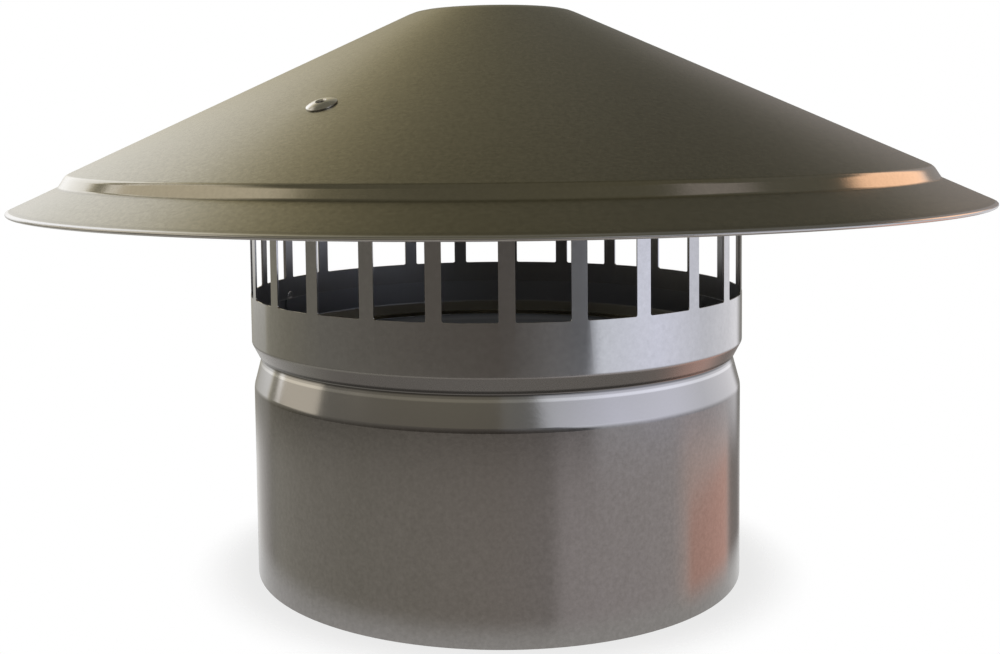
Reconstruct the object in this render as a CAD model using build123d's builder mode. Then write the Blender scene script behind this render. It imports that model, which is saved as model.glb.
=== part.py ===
from build123d import *
import os
from math import acos, atan, cos, degrees, radians, sin, sqrt, tan

# Rain cap for a round flue: a conical hood on three brackets, over a windowed collar that is
# rolled onto a plain spigot. Millimetres and degrees. Z is the flue's axis and Z = 0 is the
# spigot's lower edge. Angles run anticlockwise from +X, so the front, -Y, is at -90.
front = -90

# Sheet and clearances
sheet = 0.5
sheet_gap = 0.03
rivet_gap = 0.05

# Spigot: the part that goes into the pipe, with the rolled bead above it
spigot_radius = 75.0
spigot_straight = 57.5
bead_depth = 2.4
bead_lower_flank = 9.0
bead_upper_flank = 4.6
shoulder_bend = 5.0
groove_bend = 0.8
neck_bend = 1.2
spigot_lap = 7.5
spigot_seam_width = 8.0

# Collar: the ring of windows
collar_lower_band = 14.4
window_count = 25
window_width = 14.6
window_height = 45.0
window_corner = 0.6
collar_upper_band = 9.5
seam_strap = -8

# Hood
hood_radius = 144.5
hood_slope = 24.6
crown_radius = 23.5
crown_bend = 12.0
skirt_width = 14.4
step_run = 2.1
step_drop = 3.3
step_bend = 3.0
step_foot_bend = 2.0
rim_roll_radius = 0.5
rim_roll_flats = 18

# Brackets between the collar and the hood
bracket_count = 3
first_bracket = front - 31.6
bracket_sheet = 1.0
bracket_width = 16.0
bracket_corner = 3.0
bracket_bend = 2.2
bracket_lap = 8.0
bracket_rise = 6.7

# Blind rivets, one through each bracket
rivet_reach = 12.5
bracket_end_margin = 8.0
rivet_shank_radius = 2.0
rivet_bore_radius = 1.1
rivet_head_radius = 4.1
rivet_head_height = 1.1
rivet_head_edge = 0.3
rivet_dome_radius = 8.2
rivet_mouth_chamfer = 0.35
blind_end_radius = 2.9
blind_end_length = 2.6
mandrel_break_depth = 0.7
mandrel_head_radius = 1.75

# Heights up the spigot and the collar
groove_height = spigot_straight + bead_lower_flank
bead_top = groove_height + bead_upper_flank
spigot_top = bead_top + spigot_lap
sill_height = bead_top + collar_lower_band
window_top = sill_height + window_height
collar_top = window_top + collar_upper_band

# The spigot's outer face, and the collar's, which follows it up from the groove
groove_radius = spigot_radius - bead_depth
groove_turn = degrees(atan(bead_depth / bead_lower_flank) + atan(bead_depth / bead_upper_flank))
collar_edge_lift = groove_bend * tan(radians(groove_turn / 2)) + 2 * sheet_gap
collar_edge_radius = groove_radius + bead_depth * collar_edge_lift / bead_upper_flank
collar_shift = sheet_gap + sheet
collar_radius = spigot_radius + collar_shift
spigot_wall = [
    (spigot_radius, 0),
    (spigot_radius, spigot_straight),
    (groove_radius, groove_height),
    (spigot_radius, bead_top),
    (spigot_radius, spigot_top),
]
spigot_bends = [shoulder_bend, groove_bend, neck_bend]
collar_wall = [
    (collar_edge_radius + collar_shift, groove_height + collar_edge_lift),
    (collar_radius, bead_top),
    (collar_radius, collar_top),
]
collar_bends = [neck_bend]

# Spacing round the axis
window_pitch = 360 / window_count
strap_angle = window_pitch - degrees(window_width / collar_radius)
window_bulge = collar_radius - sqrt(collar_radius**2 - (window_width / 2) ** 2)
punch_reach = window_bulge + 2 * sheet
seam_angle = front + seam_strap * window_pitch
spigot_seam_angle = degrees(spigot_seam_width / spigot_radius)
bracket_angles = [first_bracket + 360 / bracket_count * turn for turn in range(bracket_count)]

# The hood stands on the brackets, its underside just above the collar's edge
slope_sin = sin(radians(hood_slope))
slope_cos = cos(radians(hood_slope))
slope_tan = tan(radians(hood_slope))
hood_seat_height = collar_top + bracket_rise + sheet / slope_cos


def cone_height(radius):
    """Height of the cone's outer face at a radius."""
    return hood_seat_height + (collar_radius - radius) * slope_tan


def bracket_seat_height(radius):
    """Height of a bracket's upper face, just under the cone, at a radius."""
    return cone_height(radius) - (sheet + sheet_gap) / slope_cos


crown_height = cone_height(crown_radius)
step_foot_radius = hood_radius - skirt_width
step_radius = step_foot_radius - step_run
step_height = cone_height(step_radius)
step_foot_height = step_height - step_drop
rim_edge_radius = hood_radius - rim_roll_radius + rim_roll_radius * slope_sin
rim_edge_height = step_foot_height - (rim_edge_radius - step_foot_radius) * slope_tan
rim_centre = (hood_radius - rim_roll_radius, rim_edge_height - rim_roll_radius * slope_cos)

# The rim's roll goes round in short flats, from the skirt's edge to the underside of the sheet
rim_mouth_angle = degrees(acos((rim_roll_radius - sheet) / rim_roll_radius))
rim_mouth_reach = rim_roll_radius * sin(radians(rim_mouth_angle))
rim_flat_turn = (360 - rim_mouth_angle) / rim_roll_flats
skirt_end = (rim_edge_radius - rim_mouth_reach * slope_cos, rim_edge_height + rim_mouth_reach * slope_sin)

# Bracket: where its leg stands, where its flange ends, and an arc that is wide enough to trim it from
rivet_circle_radius = collar_radius + rivet_reach
leg_radius = collar_radius + sheet_gap
leg_foot_height = collar_top - bracket_lap
bracket_end_radius = rivet_circle_radius + bracket_end_margin
bracket_arc = 2 * degrees(bracket_width / collar_radius)

# Rivet: lengths along it, from the cone's outer face, and its holes
bracket_far_side = sheet + sheet_gap + bracket_sheet
blind_end_start = bracket_far_side + sheet_gap
blind_end_widest = blind_end_start + blind_end_length / 3
blind_end_stop = blind_end_start + blind_end_length
blind_end_shoulder = (rivet_shank_radius + blind_end_radius) / 2
rivet_mouth_radius = rivet_bore_radius + rivet_mouth_chamfer
rivet_hole_radius = rivet_shank_radius + rivet_gap
rivet_hole_reach = 2 * bracket_far_side

# Mandrel: its stem fills the rivet's bore, with its head below the blind end
mandrel_radius = rivet_bore_radius - rivet_gap
mandrel_top = rivet_head_height - mandrel_break_depth
mandrel_head_top = -blind_end_stop - sheet_gap
mandrel_bottom = mandrel_head_top - mandrel_head_radius


def rim_point(turn):
    """Point of the rim's roll, by its turn from the skirt's edge."""
    angle = radians(90 - hood_slope - turn)
    return rim_centre[0] + rim_roll_radius * cos(angle), rim_centre[1] + rim_roll_radius * sin(angle)


def outwards(angle):
    """Level unit vector that points away from the axis."""
    return Vector(cos(radians(angle)), sin(radians(angle)), 0)


def upright_plane(angle):
    """Plane through the axis: X is the radius at that angle, Y is the height."""
    return Plane(origin=(0, 0, 0), x_dir=outwards(angle), z_dir=outwards(angle).cross(Vector(0, 0, 1)))


def rivet_point(angle):
    """Point on the cone's outer face where a rivet goes through."""
    return outwards(angle) * rivet_circle_radius + Vector(0, 0, cone_height(rivet_circle_radius))


def rivet_direction(angle):
    """Unit vector along a rivet, square to the cone."""
    return outwards(angle) * slope_sin + Vector(0, 0, slope_cos)


def rivet_face(angle):
    """Plane on the cone's outer face at a rivet."""
    return Plane(origin=rivet_point(angle), z_dir=rivet_direction(angle))


def rivet_section(angle):
    """Plane along a rivet: X runs down the cone from the rivet's axis, Y runs out of the hood."""
    down = outwards(angle) * slope_cos - Vector(0, 0, slope_sin)
    return Plane(origin=rivet_point(angle), x_dir=down, z_dir=down.cross(rivet_direction(angle)))


def rolled_sheet(wall, bends, middle_angle=0, arc=360):
    """Sheet rolled about the flue's axis, with its outer face on the wall line."""
    with BuildPart() as rolled:
        with BuildSketch(upright_plane(middle_angle - arc / 2)):
            with BuildLine():
                outside = FilletPolyline(*wall, radius=bends)
                inside = FilletPolyline(*[(radius - sheet, height) for radius, height in wall], radius=bends)
                Line(outside @ 0, inside @ 0)
                Line(outside @ 1, inside @ 1)
            make_face()
        revolve(axis=Axis.Z, revolution_arc=arc)
    return rolled.part


def window_punch():
    """Block that cuts one window, outwards along X."""
    with BuildPart() as punch:
        with BuildSketch(Plane.YZ):
            with Locations((0, (sill_height + window_top) / 2)):
                RectangleRounded(window_width, window_height, window_corner)
        extrude(amount=punch_reach, both=True)
    return punch.part


os.makedirs("parts", exist_ok=True)

# Spigot: the tube with its bead, and the lap of its seam on the inside
with BuildPart() as spigot:
    add(rolled_sheet(spigot_wall, spigot_bends))
    inner_wall = [(radius - sheet, height) for radius, height in spigot_wall]
    add(rolled_sheet(inner_wall, spigot_bends, seam_angle, spigot_seam_angle))
spigot.part.label = "spigot"
export_step(spigot.part, "parts/spigot.step")

# Collar: the ring, the seam's lap on its outside, and the windows, which leave that lap one strap wide
with BuildPart() as window_collar:
    add(rolled_sheet(collar_wall, collar_bends))
    lap_wall = [(radius + sheet, height) for radius, height in collar_wall]
    add(rolled_sheet(lap_wall, collar_bends, seam_angle, strap_angle))
    with PolarLocations(collar_radius, window_count, start_angle=front + window_pitch / 2):
        add(window_punch(), mode=Mode.SUBTRACT)
window_collar.part.label = "window_collar"
export_step(window_collar.part, "parts/window_collar.step")

# Hood: crown, cone, step and skirt in one sheet, ending in the rolled rim
with BuildPart() as hood:
    with BuildSketch(Plane.XZ):
        with BuildLine():
            outside = FilletPolyline(
                (0, crown_height),
                (crown_radius, crown_height),
                (step_radius, step_height),
                (step_foot_radius, step_foot_height),
                skirt_end,
                radius=[crown_bend, step_bend, step_foot_bend],
            )
            inside = outside.offset_2d(sheet, side=Side.RIGHT, closed=False)
            add(inside)
            Line(outside @ 0, inside @ 0)
            Line(outside @ 1, rim_point(0))
            Polyline(*[rim_point(flat * rim_flat_turn) for flat in range(rim_roll_flats + 1)])
        make_face()
    revolve(axis=Axis.Z)
    with BuildSketch(*[rivet_face(angle) for angle in bracket_angles]):
        Circle(rivet_hole_radius)
    extrude(amount=rivet_hole_reach, both=True, mode=Mode.SUBTRACT)
hood.part.label = "hood"
export_step(hood.part, "parts/hood.step")

for number, angle in enumerate(bracket_angles, start=1):
    # Bracket: a leg up the collar's top band, bent over so that its flange lies under the cone
    with BuildPart() as hood_bracket:
        with BuildSketch(upright_plane(angle - bracket_arc / 2)):
            with BuildLine():
                FilletPolyline(
                    (leg_radius, leg_foot_height),
                    (leg_radius, bracket_seat_height(leg_radius)),
                    (bracket_end_radius, bracket_seat_height(bracket_end_radius)),
                    radius=bracket_bend,
                )
                offset(amount=bracket_sheet, side=Side.RIGHT)
            make_face()
        revolve(axis=Axis.Z, revolution_arc=bracket_arc)
        with BuildSketch(Plane(origin=(0, 0, window_top), x_dir=outwards(angle), z_dir=(0, 0, 1))):
            with Locations((bracket_end_radius, 0)):
                outline = Rectangle(bracket_end_radius, bracket_width, align=(Align.MAX, Align.CENTER))
            fillet(outline.vertices().group_by(Axis.X)[-1], radius=bracket_corner)
        extrude(amount=crown_height - window_top, mode=Mode.INTERSECT)
        with BuildSketch(rivet_face(angle)):
            Circle(rivet_hole_radius)
        extrude(amount=rivet_hole_reach, both=True, mode=Mode.SUBTRACT)
    hood_bracket.part.label = f"hood_bracket_{number}"
    export_step(hood_bracket.part, f"parts/hood_bracket_{number}.step")

    # Rivet body: domed flange on the cone, shank through both sheets, bulged end under the bracket
    with BuildPart() as rivet_body:
        with BuildSketch(rivet_section(angle)):
            with BuildLine():
                Polyline(
                    (rivet_bore_radius, -blind_end_stop),
                    (rivet_bore_radius, rivet_head_height - rivet_mouth_chamfer),
                    (rivet_mouth_radius, rivet_head_height),
                )
                RadiusArc(
                    (rivet_mouth_radius, rivet_head_height),
                    (rivet_head_radius, rivet_head_edge),
                    rivet_dome_radius,
                )
                Polyline(
                    (rivet_head_radius, rivet_head_edge),
                    (rivet_head_radius, sheet_gap),
                    (rivet_shank_radius, sheet_gap),
                    (rivet_shank_radius, -blind_end_start),
                    (blind_end_shoulder, -blind_end_start),
                )
                ThreePointArc(
                    (blind_end_shoulder, -blind_end_start),
                    (blind_end_radius, -blind_end_widest),
                    (rivet_shank_radius, -blind_end_stop),
                )
                Line((rivet_shank_radius, -blind_end_stop), (rivet_bore_radius, -blind_end_stop))
            make_face()
        revolve(axis=Axis(rivet_point(angle), rivet_direction(angle)))
    rivet_body.part.label = f"rivet_body_{number}"
    export_step(rivet_body.part, f"parts/rivet_body_{number}.step")

    # Mandrel: the broken stem inside the rivet, with its head against the blind end
    with BuildPart() as rivet_mandrel:
        with BuildSketch(rivet_section(angle)):
            with BuildLine():
                Polyline(
                    (0, mandrel_bottom),
                    (0, mandrel_top),
                    (mandrel_radius, mandrel_top),
                    (mandrel_radius, mandrel_head_top),
                    (mandrel_head_radius, mandrel_head_top),
                )
                RadiusArc(
                    (mandrel_head_radius, mandrel_head_top),
                    (0, mandrel_bottom),
                    mandrel_head_radius,
                )
            make_face()
        revolve(axis=Axis(rivet_point(angle), rivet_direction(angle)))
    rivet_mandrel.part.label = f"rivet_mandrel_{number}"
    export_step(rivet_mandrel.part, f"parts/rivet_mandrel_{number}.step")
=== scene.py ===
from math import cos, pi, radians, sin

import bmesh
import bpy
from mathutils import Matrix, Vector


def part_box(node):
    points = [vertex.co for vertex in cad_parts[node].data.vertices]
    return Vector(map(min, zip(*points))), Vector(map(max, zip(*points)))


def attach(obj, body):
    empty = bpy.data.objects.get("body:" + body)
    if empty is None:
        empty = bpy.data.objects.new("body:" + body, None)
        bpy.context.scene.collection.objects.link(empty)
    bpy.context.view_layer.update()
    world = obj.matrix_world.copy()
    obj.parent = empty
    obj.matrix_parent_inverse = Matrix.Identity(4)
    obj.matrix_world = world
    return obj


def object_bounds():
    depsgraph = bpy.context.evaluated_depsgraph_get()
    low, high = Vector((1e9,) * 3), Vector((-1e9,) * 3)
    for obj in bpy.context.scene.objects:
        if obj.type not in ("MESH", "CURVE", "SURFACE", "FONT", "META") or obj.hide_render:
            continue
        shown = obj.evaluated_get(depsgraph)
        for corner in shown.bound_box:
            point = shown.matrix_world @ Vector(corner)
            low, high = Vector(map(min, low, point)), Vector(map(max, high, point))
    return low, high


# Looks of a flue rain cap: a satin hood with a pressed step, over a polished collar of windows,
# over a matt-rolled spigot. Metres, with Z up the flue's axis and the front at -Y. Angles about the
# axis are in degrees, anticlockwise from +X.
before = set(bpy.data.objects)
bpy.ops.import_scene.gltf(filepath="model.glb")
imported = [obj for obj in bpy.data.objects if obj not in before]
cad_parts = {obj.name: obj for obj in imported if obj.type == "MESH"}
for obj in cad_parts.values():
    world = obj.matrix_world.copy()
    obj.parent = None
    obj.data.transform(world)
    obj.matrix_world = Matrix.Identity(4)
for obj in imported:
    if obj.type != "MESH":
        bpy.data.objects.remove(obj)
cad_low, cad_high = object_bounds()

# Sheets, counts and angles of the CAD parts, with the straps between windows counted from the front
sheet = 0.0005
sheet_gap = 0.00003
bracket_sheet = 0.001
window_count = 25
seam_strap = -8
bracket_count = 3
front = -90
first_bracket = front - 31.6

# Lengths along the CAD parts
shoulder_height = 0.0575
bead_lower_flank = 0.009
bead_depth = 0.0024
spigot_lap = 0.0075
collar_lower_band = 0.0144
collar_upper_band = 0.0095
skirt_width = 0.0144
step_run = 0.0021

# Heights and radii, from the frame
spigot_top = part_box("spigot")[1].z
collar_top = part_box("window_collar")[1].z
spigot_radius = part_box("spigot")[1].x
collar_radius = spigot_radius + sheet_gap + sheet
hood_radius = cad_high.x
groove_height = shoulder_height + bead_lower_flank
groove_radius = spigot_radius - bead_depth
bead_top = spigot_top - spigot_lap
sill_height = bead_top + collar_lower_band
window_top = collar_top - collar_upper_band
step_foot_radius = hood_radius - skirt_width
step_radius = step_foot_radius - step_run
window_pitch = 360 / window_count
bracket_pitch = 360 / bracket_count
seam_angle = front + seam_strap * window_pitch

# Spot welds: a low crest round a shallow dish, in shares of radius and crest from the middle out
weld_radius = 0.0015
weld_crest = 0.00009
weld_profile = [(0, 0.15), (0.35, 0.2), (0.6, 0.55), (0.76, 1), (0.88, 0.85), (1, -0.3)]
weld_facets = 28
weld_below_sill = 0.0060
weld_above_windows = 0.0048
weld_below_top = 0.0042
spigot_weld_count = 5
bracket_weld_swing = 3.2

# How far rolling and spinning have brushed the sheets, and how dull the insides are
brushing = 0.2
dull_share = 0.75

# Camera, fitted to the photograph's view
camera_place = Vector((-0.01649, -0.39757, 0.13514))
camera_yaw = radians(-0.04)
camera_pitch = radians(3.956)
camera_roll = radians(-0.746)
camera_lens = 45.95
camera_sensor = 36
camera_shift = (0.06, -0.11)
camera_near = 0.01

# Studio: the floor fades from the spigot's foot outwards, and is darker in the well of the spigot
floor_reach = 1.6
floor_facets = 96
floor_fade = (0.076, 0.098)
shadow_share = 0.25
well_share = 0.08
well_edge = 0.002
tent_radius = 3.0
tent_facets = 72
world_level = 0.80
lamp_place = Vector((-0.5, -0.4, 2.2))
lamp_size = 2.2
lamp_power = 18

# Tones round the tent, each at an azimuth in degrees, which runs from the back towards the right
wall_tones = [
    (-180, (0.10, 0.088, 0.078)),
    (-135, (0.13, 0.118, 0.103)),
    (-95, (0.17, 0.16, 0.14)),
    (-70, (0.22, 0.205, 0.165)),
    (-44, (0.31, 0.295, 0.245)),
    (0, (0.27, 0.26, 0.235)),
    (30, (0.26, 0.25, 0.235)),
    (38, (0.93, 0.92, 0.96)),
    (75, (0.74, 0.75, 0.82)),
    (108, (0.92, 0.94, 1.10)),
    (136, (0.80, 0.83, 0.92)),
    (141, (0.15, 0.155, 0.17)),
    (158, (0.16, 0.155, 0.155)),
    (180, (0.10, 0.088, 0.078)),
]
ceiling_tones = [
    (-180, (0.25, 0.235, 0.18)),
    (-110, (0.29, 0.265, 0.19)),
    (-20, (0.31, 0.29, 0.22)),
    (0, (0.27, 0.255, 0.20)),
    (12, (0.22, 0.212, 0.185)),
    (24, (0.15, 0.146, 0.13)),
    (140, (0.15, 0.145, 0.12)),
    (180, (0.25, 0.235, 0.18)),
]
ground_tones = [
    (-180, (0.50, 0.465, 0.435)),
    (-110, (0.48, 0.46, 0.41)),
    (-60, (0.56, 0.545, 0.49)),
    (-49, (0.46, 0.45, 0.41)),
    (-45, (0.55, 0.53, 0.51)),
    (-20, (0.95, 0.94, 0.92)),
    (16, (0.90, 0.88, 0.86)),
    (30, (0.26, 0.24, 0.23)),
    (46, (0.36, 0.32, 0.30)),
    (52, (1.12, 0.92, 0.87)),
    (86, (1.12, 0.92, 0.87)),
    (96, (0.78, 0.74, 0.75)),
    (154, (0.73, 0.69, 0.70)),
    (158, (0.50, 0.47, 0.46)),
    (180, (0.50, 0.465, 0.435)),
]


class Signal:
    """The value of one socket. Python's operators on it add Math nodes."""

    def __init__(self, finish, socket):
        self.finish = finish
        self.socket = socket

    def output(self, name):
        """Another output of the same node."""
        return Signal(self.finish, self.socket.node.outputs[name])

    def __add__(self, other):
        return self.finish.maths("ADD", self, other)

    def __sub__(self, other):
        return self.finish.maths("SUBTRACT", self, other)

    def __rsub__(self, other):
        return self.finish.maths("SUBTRACT", other, self)

    def __mul__(self, other):
        return self.finish.maths("MULTIPLY", self, other)

    def __truediv__(self, other):
        return self.finish.maths("DIVIDE", self, other)

    def __pow__(self, other):
        return self.finish.maths("POWER", self, other)

    __radd__ = __add__
    __rmul__ = __mul__


class Finish:
    """The nodes of one material, or of the world."""

    def __init__(self, owner):
        owner.use_nodes = True
        self.owner = owner
        self.tree = owner.node_tree
        self.tree.nodes.clear()

    def node(self, kind, settings=None, sockets=None, output=0):
        """Adds a node: its settings first, then the values or links of its sockets."""
        made = self.tree.nodes.new("ShaderNode" + kind)
        for name, value in (settings or {}).items():
            if name == "stops":
                self.set_stops(made.color_ramp, value)
            else:
                setattr(made, name, value)
        for name, value in (sockets or {}).items():
            if isinstance(value, Signal):
                self.tree.links.new(value.socket, made.inputs[name])
            else:
                made.inputs[name].default_value = value
        return Signal(self, made.outputs[output]) if made.outputs else None

    def set_stops(self, ramp, stops):
        """Gives a ramp its stops, each a position from 0 to 1 and a colour."""
        while len(ramp.elements) < len(stops):
            ramp.elements.new(0.5)
        for element, (position, colour) in zip(ramp.elements, stops):
            element.position = position
            element.color = colour

    def maths(self, operation, *values):
        """One Math node."""
        return self.node("Math", {"operation": operation}, dict(enumerate(values)))

    def rise(self, value, low, high):
        """0 below low, 1 above high, with a soft passage between."""
        sockets = {"Value": value, "From Min": low, "From Max": high}
        return self.node("MapRange", {"interpolation_type": "SMOOTHSTEP"}, sockets)

    def fall(self, value, low, high):
        """1 below low, 0 above high, with a soft passage between."""
        return 1 - self.rise(value, low, high)

    def between(self, value, low, high, soft):
        """1 from low to high, fading to 0 over a width of soft on either side."""
        return self.rise(value, low - soft, low) * self.fall(value, high, high + soft)

    def mix(self, share, first, second):
        """A colour between two, by share."""
        return self.node("Mix", {"data_type": "RGBA"}, {0: share, 6: first, 7: second}, output=2)

    def mix_shaders(self, share, first, second):
        """A shader between two, by share."""
        return self.node("MixShader", None, {0: share, 1: first, 2: second})

    def place(self):
        """Position on the piece, in metres."""
        return self.node("TexCoord", output="Object")

    def stretched(self, point, scale):
        """Position scaled along each axis, so that noise on it is stretched."""
        return self.node("VectorMath", {"operation": "MULTIPLY"}, {0: point, 1: scale})

    def noise(self, point, scale, detail, rough):
        """Cloudy noise from 0 to 1, with features about 1 / scale long."""
        sockets = {"Vector": point, "Scale": scale, "Detail": detail, "Roughness": rough}
        return self.node("TexNoise", None, sockets)

    def bump(self, height, depth):
        """Normal of a surface whose height goes from 0 to depth."""
        return self.node("Bump", None, {"Distance": depth, "Height": height})

    def glow(self, colour):
        """Shader that shows a colour as it is."""
        return self.node("Emission", None, {"Color": colour})

    def metal(self, **looks):
        """Ends the material in a metal shader with these sockets, and gives the material."""
        names = {
            "base": "Base Color",
            "roughness": "Roughness",
            "normal": "Normal",
            "brushed": "Anisotropic",
        }
        sockets = {names[look]: value for look, value in looks.items()}
        return self.end(self.node("BsdfPrincipled", None, {"Metallic": 1.0, **sockets}))

    def end(self, surface):
        """Ends the material in a shader, and gives the material."""
        self.node("OutputMaterial", None, {"Surface": surface})
        return self.owner


def tone(red, green, blue):
    """Colour in linear light, with alpha."""
    return (red, green, blue, 1)


def around(finish):
    """Position, radius from the flue's axis, and height."""
    point = finish.place()
    across = finish.node("SeparateXYZ", None, {"Vector": point})
    along = across.output("Y")
    height = across.output("Z")
    radius = (across * across + along * along) ** 0.5
    return point, radius, height


def inner_face(finish, radius, outer_radius):
    """1 on the inner face of rolled sheet and 0 on its outer face, whose radius is given."""
    return finish.rise(outer_radius - radius, sheet * 0.6, sheet * 0.9)


def hood_steel():
    """Satin steel of the spun hood: olive tone, fine tooth, faint rings, a burnished step and hem that
    are also painted lighter as painted highlights, and thin lines of painted shade at the step's foot and
    above the hem.
    """
    finish = Finish(bpy.data.materials.new("hood_steel"))
    point, radius, height = around(finish)
    blotches = finish.noise(point, 14, detail=4, rough=0.55)
    mottles = finish.noise(point, 850, detail=4, rough=0.75)
    tooth = finish.noise(point, 2600, detail=2, rough=0.6)
    profile = finish.node("CombineXYZ", None, {"X": radius, "Y": height})
    rings = finish.noise(profile, 1500, detail=3, rough=0.6)
    step = finish.between(radius, step_radius - 0.0002, step_foot_radius - 0.0003, soft=0.0005)
    bend_shade_line = finish.between(radius, step_foot_radius, step_foot_radius + 0.0005, soft=0.0003)
    hem_shade_line = finish.between(radius, hood_radius - 0.0020, hood_radius - 0.0013, soft=0.0002)
    hem = finish.rise(radius, hood_radius - 0.0011, hood_radius - 0.0008)
    base = finish.mix(blotches, tone(0.270, 0.247, 0.168), tone(0.300, 0.278, 0.212))
    base = finish.mix(0.6, base, finish.mix(mottles, tone(0.09, 0.08, 0.04), tone(0.49, 0.46, 0.35)))
    # Painted shade: thin darker lines in the concave bend at the step's foot and in the groove just above
    # the hem.
    base = finish.mix((bend_shade_line + hem_shade_line) * 0.18, base, tone(0.09, 0.08, 0.06))
    # The hem is smoother and also painted lighter, a painted highlight along the rolled rim.
    base = finish.mix(hem, base, tone(0.52, 0.51, 0.49))
    # The step band is smoother and also painted lighter, a painted sheen standing in for its reflections.
    base = finish.mix(step * 0.5, base, tone(0.56, 0.53, 0.46))
    roughness = 0.20 + tooth * 0.07 - hem * 0.07 + rings * 0.02 - step * 0.13
    normal = finish.bump(tooth + rings * 0.5, depth=0.000008)
    return finish.metal(base=base, roughness=roughness, brushed=brushing, normal=normal)


def collar_chrome():
    """Polished strip of the window collar: a little wavy, duller where it was rolled in and inside, with
    the rolled-in neck painted darker and its edge in the groove painted near black as painted shade.
    """
    finish = Finish(bpy.data.materials.new("collar_chrome"))
    point, radius, height = around(finish)
    waves = finish.noise(finish.stretched(point, (1, 1, 0.35)), 42, detail=1, rough=0.4)
    lines = finish.noise(finish.stretched(point, (1, 1, 0.02)), 2400, detail=2, rough=0.6)
    haze = finish.noise(point, 60, detail=4, rough=0.6)
    specks = finish.noise(point, 600, detail=4, rough=0.75)
    neck = finish.fall(height, bead_top + 0.0001, bead_top + 0.0007)
    edge = finish.fall(height, groove_height + 0.0008, groove_height + 0.0014)
    above_neck = finish.rise(height, bead_top + 0.0002, bead_top + 0.0005)
    inside = inner_face(finish, radius, collar_radius) * above_neck
    base = finish.mix(haze, tone(0.57, 0.565, 0.555), tone(0.64, 0.635, 0.63))
    base = finish.mix(0.3, base, finish.mix(specks, tone(0.30, 0.30, 0.29), tone(0.95, 0.94, 0.93)))
    # The rolled-in neck is rougher and also painted darker, a painted shade.
    base = finish.mix(neck * 0.85, base, tone(0.25, 0.24, 0.23))
    # Painted shade: the collar's lowest edge, in the groove, is painted near black.
    base = finish.mix(edge * 0.8, base, tone(0.05, 0.048, 0.045))
    base = finish.mix(inside * dull_share, base, tone(0.21, 0.215, 0.23))
    roughness = 0.07 + haze * 0.05 + lines * 0.03 + neck * 0.16 + inside * 0.25
    normal = finish.bump(waves, depth=0.00022)
    return finish.metal(base=base, roughness=roughness, brushed=brushing, normal=normal)


def spigot_inside(finish, radius, height):
    """1 on the spigot's inner face, and above the groove, where the collar hides the outer face."""
    flank = {
        "Value": height,
        "From Min": shoulder_height,
        "From Max": groove_height,
        "To Min": spigot_radius,
        "To Max": groove_radius,
    }
    outer_radius = finish.node("MapRange", None, flank)
    above_groove = finish.rise(height, groove_height + 0.0012, groove_height + 0.0016)
    return finish.maths("MAXIMUM", inner_face(finish, radius, outer_radius), above_groove)


def spigot_steel():
    """Matt-rolled strip of the spigot: fine grain, faint upright strokes, burnished bead, dull inside,
    painted shade in the groove and a thin painted highlight just below it.
    """
    finish = Finish(bpy.data.materials.new("spigot_steel"))
    point, radius, height = around(finish)
    grain = finish.noise(point, 800, detail=4, rough=0.7)
    strokes = finish.noise(finish.stretched(point, (1, 1, 0.05)), 700, detail=2, rough=0.6)
    clouds = finish.noise(finish.stretched(point, (1, 1, 0.6)), 34, detail=4, rough=0.6)
    bead = finish.rise(height, shoulder_height - 0.0006, shoulder_height + 0.0008)
    crest = finish.between(height, groove_height - 0.0018, groove_height - 0.0014, soft=0.0004)
    groove = finish.between(height, groove_height - 0.0003, groove_height + 0.0010, soft=0.0005)
    inside = spigot_inside(finish, radius, height)
    base = finish.mix(clouds, tone(0.240, 0.230, 0.205), tone(0.295, 0.275, 0.268))
    base = finish.mix(0.4, base, finish.mix(grain, tone(0.08, 0.075, 0.07), tone(0.47, 0.45, 0.44)))
    base = finish.mix(strokes * 0.14, base, tone(0.15, 0.145, 0.14))
    base = finish.mix(bead * 0.85, base, tone(0.62, 0.61, 0.60))
    # Painted shade: a dark line painted in the groove.
    base = finish.mix(groove * 0.7, base, tone(0.06, 0.058, 0.055))
    # Painted highlight: a thin near-white line painted on the bend just below the groove.
    base = finish.mix(crest * 0.7, base, tone(0.97, 0.96, 0.94))
    base = finish.mix(inside * dull_share, base, tone(0.28, 0.30, 0.34))
    roughness = 0.11 + grain * 0.08 - bead * 0.03 + inside * 0.24
    normal = finish.bump(grain, depth=0.000006)
    return finish.metal(base=base, roughness=roughness, brushed=brushing, normal=normal)


def bracket_steel():
    """Plain mill finish of the brackets."""
    finish = Finish(bpy.data.materials.new("bracket_steel"))
    point = finish.place()
    mill = finish.noise(finish.stretched(point, (0.2, 1, 1)), 1300, detail=3, rough=0.6)
    clouds = finish.noise(point, 120, detail=3, rough=0.6)
    base = finish.mix(clouds, tone(0.36, 0.35, 0.34), tone(0.46, 0.455, 0.445))
    normal = finish.bump(mill, depth=0.00001)
    return finish.metal(base=base, roughness=0.26 + mill * 0.14, normal=normal)


def clouded_steel(name, dark, light, scale, detail, smoothest):
    """Bare steel of a small piece, clouded from dark to light and from smooth to a little rough."""
    finish = Finish(bpy.data.materials.new(name))
    clouds = finish.noise(finish.place(), scale, detail=detail, rough=0.6)
    base = finish.mix(clouds, dark, light)
    normal = finish.bump(clouds, depth=0.00001)
    return finish.metal(base=base, roughness=smoothest + clouds * 0.12, normal=normal)


def rivet_steel(name, dark, light):
    """Drawn steel of a rivet or its mandrel."""
    return clouded_steel(name, dark, light, scale=900, detail=4, smoothest=0.12)


def weld_steel(name, dark, light):
    """Bare spot welds, a little straw-coloured."""
    return clouded_steel(name, dark, light, scale=1500, detail=3, smoothest=0.16)


def paint(material, *names):
    """Gives CAD nodes a material in place of their plain one."""
    for name in names:
        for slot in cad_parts[name].material_slots:
            slot.material = material


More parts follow.
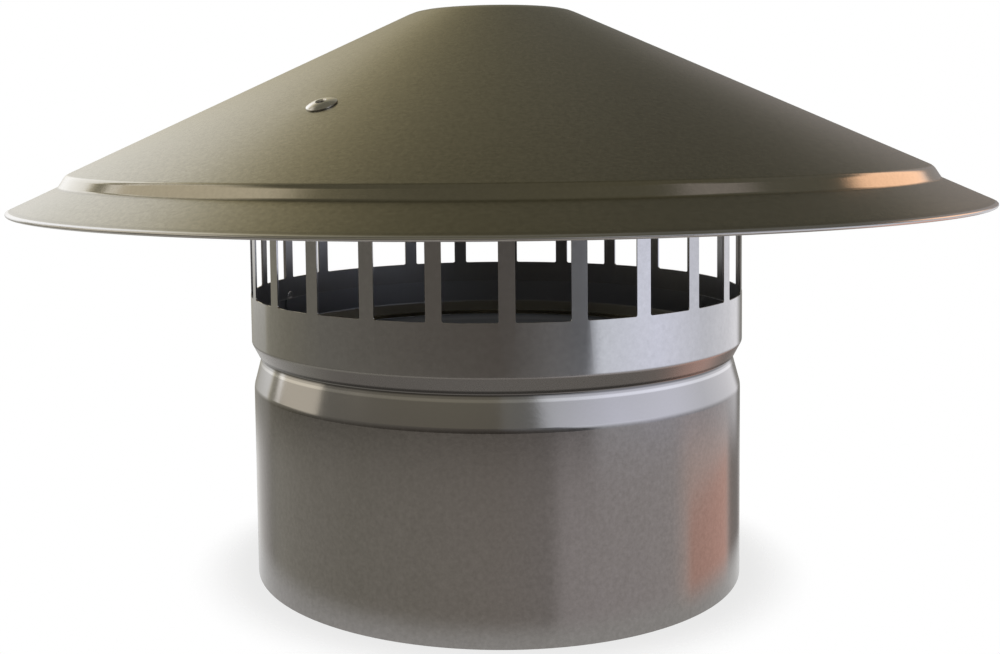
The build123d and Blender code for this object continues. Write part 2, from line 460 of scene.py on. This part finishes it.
def paint_cad():
    """Gives every CAD node its finish."""
    numbers = range(1, bracket_count + 1)
    paint(hood_steel(), "hood")
    paint(collar_chrome(), "window_collar")
    paint(spigot_steel(), "spigot")
    paint(bracket_steel(), *[f"hood_bracket_{number}" for number in numbers])
    flange = rivet_steel("rivet_flange", tone(0.64, 0.62, 0.59), tone(0.80, 0.79, 0.77))
    paint(flange, *[f"rivet_body_{number}" for number in numbers])
    stub = rivet_steel("mandrel_steel", tone(0.24, 0.23, 0.22), tone(0.40, 0.39, 0.37))
    paint(stub, *[f"rivet_mandrel_{number}" for number in numbers])


def add_object(name, shape, material):
    """Object with the mesh of a bmesh, in the scene."""
    mesh = bpy.data.meshes.new(name)
    shape.to_mesh(mesh)
    shape.free()
    mesh.materials.append(material)
    added = bpy.data.objects.new(name, mesh)
    bpy.context.scene.collection.objects.link(added)
    return added


def press_weld(shape, angle, height, face_radius, facing):
    """Adds a spot weld on a face of rolled sheet that looks outwards, 1, or inwards, -1."""
    rings = []
    for share, lift in weld_profile:
        reach = share * weld_radius
        far = face_radius + facing * lift * weld_crest
        ring = []
        for facet in range(weld_facets if share else 1):
            turn = 2 * pi * facet / weld_facets
            swing = radians(angle) + facing * reach * cos(turn) / face_radius
            ring.append(shape.verts.new((far * cos(swing), far * sin(swing), height + reach * sin(turn))))
        rings.append(ring)
    for facet in range(weld_facets):
        following = (facet + 1) % weld_facets
        shape.faces.new((rings[0][0], rings[1][facet], rings[1][following]))
        for inner, outer in zip(rings[1:], rings[2:]):
            shape.faces.new((inner[facet], outer[facet], outer[following], inner[following]))


def weld_piece(name, welds, material):
    """Piece of welds, each by its angle, its height and the radii of the outer and inner face."""
    shape = bmesh.new()
    for angle, height, outer_radius, inner_radius in welds:
        press_weld(shape, angle, height, outer_radius, 1)
        press_weld(shape, angle, height, inner_radius, -1)
    piece = add_object(name, shape, material)
    piece.data.shade_smooth()
    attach(piece, "root")


def add_welds():
    """Welds down the collar's seam, down the spigot's seam and on each bracket's leg."""
    bright = weld_steel("bright_weld", tone(0.66, 0.63, 0.58), tone(0.86, 0.85, 0.83))
    dull = weld_steel("dull_weld", tone(0.40, 0.375, 0.33), tone(0.54, 0.53, 0.51))
    collar_inside = collar_radius - sheet

    heights = [sill_height - weld_below_sill, window_top + weld_above_windows]
    welds = [(seam_angle, height, collar_radius + sheet, collar_inside) for height in heights]
    weld_piece("collar_seam_welds", welds, bright)

    heights = [shoulder_height * (weld + 0.5) / spigot_weld_count for weld in range(spigot_weld_count)]
    welds = [(seam_angle, height, spigot_radius, spigot_radius - 2 * sheet) for height in heights]
    weld_piece("spigot_seam_welds", welds, dull)

    legs = [first_bracket + number * bracket_pitch for number in range(bracket_count)]
    angles = [leg + side * bracket_weld_swing for leg in legs for side in (-1, 1)]
    leg_radius = collar_radius + sheet_gap + bracket_sheet
    welds = [(angle, collar_top - weld_below_top, leg_radius, collar_inside) for angle in angles]
    weld_piece("bracket_welds", welds, dull)


def place_camera():
    """Camera at the photograph's viewpoint: heading, dip and a slight roll."""
    dip = cos(camera_pitch)
    forward = Vector((sin(camera_yaw) * dip, cos(camera_yaw) * dip, -sin(camera_pitch)))
    level = Vector((cos(camera_yaw), -sin(camera_yaw), 0))
    upright = level.cross(forward)
    right = level * cos(camera_roll) + upright * sin(camera_roll)
    up = upright * cos(camera_roll) - level * sin(camera_roll)
    camera = bpy.data.objects.new("camera", bpy.data.cameras.new("camera"))
    camera.data.lens = camera_lens
    camera.data.sensor_width = camera_sensor
    camera.data.shift_x, camera.data.shift_y = camera_shift
    camera.data.clip_start = camera_near
    turn = Matrix((right, up, -forward)).transposed()
    camera.matrix_world = Matrix.Translation(camera_place) @ turn.to_4x4()
    bpy.context.scene.collection.objects.link(camera)
    bpy.context.scene.camera = camera


def shown_rays(finish):
    """1 for what the camera, a mirror or glass looks at, 0 for what only gives light."""
    camera_ray = finish.node("LightPath", output="Is Camera Ray")
    shown = camera_ray + camera_ray.output("Is Glossy Ray") + camera_ray.output("Is Transmission Ray")
    return finish.maths("MINIMUM", shown, 1)


def floor_paint():
    """White that keeps a soft shadow, fades into the white background and is clear from below."""
    finish = Finish(bpy.data.materials.new("floor_paint"))
    radius = around(finish)[1]
    matt = {"Base Color": tone(0.80, 0.80, 0.79), "Roughness": 0.9, "Specular IOR Level": 0.0}
    painted = finish.node("BsdfPrincipled", None, matt)
    outside = finish.rise(radius, spigot_radius - well_edge, spigot_radius)
    lift = (1 - shadow_share) * (well_share + outside * (1 - well_share)) * shown_rays(finish)
    lifted = finish.mix_shaders(lift, painted, finish.glow(tone(1, 1, 1)))
    above = 1 - finish.node("NewGeometry", output="Backfacing")
    near = above * finish.fall(radius, *floor_fade)
    return finish.end(finish.mix_shaders(near, finish.node("BsdfTransparent"), lifted))


def add_floor():
    """Plain white floor."""
    shape = bmesh.new()
    bmesh.ops.create_circle(shape, cap_ends=True, segments=floor_facets, radius=floor_reach)
    floor = add_object("floor", shape, floor_paint())


def all_round(finish, azimuth, tones):
    """Colour by azimuth, from tones between -180 and 180 degrees."""
    stops = [((place + 180) / 360, tone(*colour)) for place, colour in tones]
    return finish.node("ValToRGB", {"stops": stops}, {0: (azimuth + 180) / 360})


def tent_shell(finish, azimuth, elevation):
    """Walls, whose tones lean towards the front on the far right, under a darker ceiling."""
    lean = finish.rise(azimuth, 90, 120) * finish.maths("MAXIMUM", elevation, 0) * 1.4
    walls = all_round(finish, azimuth - lean, wall_tones)
    ceiling = all_round(finish, azimuth, ceiling_tones)
    ceiling = finish.mix(finish.rise(elevation, 50, 61), ceiling, tone(0.14, 0.132, 0.099))
    return finish.mix(finish.rise(elevation, 8, 32), walls, ceiling)


def add_left_panels(finish, azimuth, elevation, colour):
    """A low and a high pale panel on the left, with a bright edge towards the back."""
    high_panel = finish.rise(azimuth, -121, -106) * finish.between(elevation, 24, 46, soft=12)
    low_panel = finish.rise(azimuth, -93, -89) * finish.between(elevation, 4, 26, soft=4)
    panels = finish.maths("MAXIMUM", high_panel, low_panel) * finish.fall(azimuth, -57.5, -54.5)
    cream = finish.mix(finish.rise(elevation, 12, 22), tone(0.65, 0.595, 0.50), tone(0.83, 0.76, 0.64))
    colour = finish.mix(panels, colour, cream)
    bright_edge = panels * finish.between(azimuth, -60, -57.5, soft=2)
    return finish.mix(bright_edge, colour, tone(1.15, 1.12, 1.08))


def add_right_panels(finish, azimuth, elevation, colour):
    """A dim stretch on the back right, a warm panel beside it, and a high grey one further round."""
    dim = finish.between(azimuth, 18, 42, soft=4) * finish.rise(elevation, 1, 5)
    dim = dim * finish.fall(elevation, 10, 38)
    colour = finish.mix(dim, colour, tone(0.33, 0.305, 0.295))
    warm = finish.between(azimuth, 47, 69, soft=9) * finish.between(elevation, 16, 31, soft=5)
    colour = finish.mix(warm, colour, tone(1.85, 1.17, 0.83))
    high = finish.between(azimuth, 106, 116, soft=9) * finish.between(elevation, 38, 56, soft=6)
    return finish.mix(high, colour, tone(0.34, 0.315, 0.32))


def add_window(finish, azimuth, elevation, colour):
    """Bright opening at the back left: yellow where it fades, dimmer near the ground."""
    opening = finish.rise(azimuth, -52, -47.5) * finish.fall(azimuth, -31, 8)
    opening = opening * finish.fall(elevation, 33, 55)
    pane = finish.mix(opening ** 2, tone(1.0, 0.87, 0.52), tone(1.34, 1.34, 1.36))
    lit = opening * (0.12 + finish.rise(elevation, -9, 10) * 0.88)
    return finish.mix(lit, colour, pane)


def add_ground(finish, azimuth, elevation, colour):
    """Ground below the walls, copper-coloured on the right, darker straight down."""
    slanted = elevation + azimuth * 0.066
    copper = finish.between(azimuth, 52, 85, soft=3) * finish.fall(slanted, -10.4, -9.2)
    ground = all_round(finish, azimuth, ground_tones)
    ground = finish.mix(copper, ground, tone(1.10, 0.68, 0.58))
    colour = finish.mix(finish.fall(elevation, -14, -10.5), colour, ground)
    return finish.mix(finish.fall(elevation, -44, -30), colour, tone(0.31, 0.29, 0.27))


def tent_paint():
    """Soft tones of the studio tent, by azimuth and elevation in degrees, as seen from the object."""
    finish = Finish(bpy.data.materials.new("tent_paint"))
    direction = finish.node("VectorMath", {"operation": "NORMALIZE"}, {0: finish.place()})
    across = finish.node("SeparateXYZ", None, {"Vector": direction})
    azimuth = finish.maths("ARCTAN2", across, across.output("Y")) * (180 / pi)
    elevation = finish.maths("ARCSINE", across.output("Z")) * (180 / pi)
    colour = tent_shell(finish, azimuth, elevation)
    for add_part in (add_left_panels, add_right_panels, add_window, add_ground):
        colour = add_part(finish, azimuth, elevation, colour)
    finish.owner.cycles.emission_sampling = "NONE"
    return finish.end(finish.glow(colour))


def add_tent():
    """Painted tent round the studio, which only the metal sees, in its reflections."""
    rows = tent_facets // 2
    shape = bmesh.new()
    bmesh.ops.create_uvsphere(shape, u_segments=tent_facets, v_segments=rows, radius=tent_radius)
    tent = add_object("studio_tent", shape, tent_paint())
    tent.visible_camera = False
    tent.visible_diffuse = False
    tent.visible_transmission = False
    tent.visible_shadow = False


def add_lamp():
    """Large soft lamp overhead, a little to the left and the front."""
    lamp = bpy.data.objects.new("softbox", bpy.data.lights.new("softbox", "AREA"))
    lamp.data.shape = "DISK"
    lamp.data.size = lamp_size
    lamp.data.energy = lamp_power
    lamp.location = lamp_place
    lamp.rotation_mode = "QUATERNION"
    lamp.rotation_quaternion = lamp_place.to_track_quat("Z", "Y")
    lamp.visible_glossy = False
    bpy.context.scene.collection.objects.link(lamp)


def light_world():
    """White background for what is seen and mirrored, and a plain soft level for the rest."""
    world = bpy.data.worlds.new("studio_world")
    bpy.context.scene.world = world
    finish = Finish(world)
    strength = world_level + (1 - world_level) * shown_rays(finish)
    surface = finish.node("Background", None, {"Color": tone(1, 1, 1), "Strength": strength})
    finish.node("OutputWorld", None, {"Surface": surface})
    world.cycles.sampling_method = "NONE"


place_camera()
bpy.context.scene.view_settings.view_transform = "Standard"

paint_cad()
add_welds()

add_floor()
add_tent()
add_lamp()
light_world()
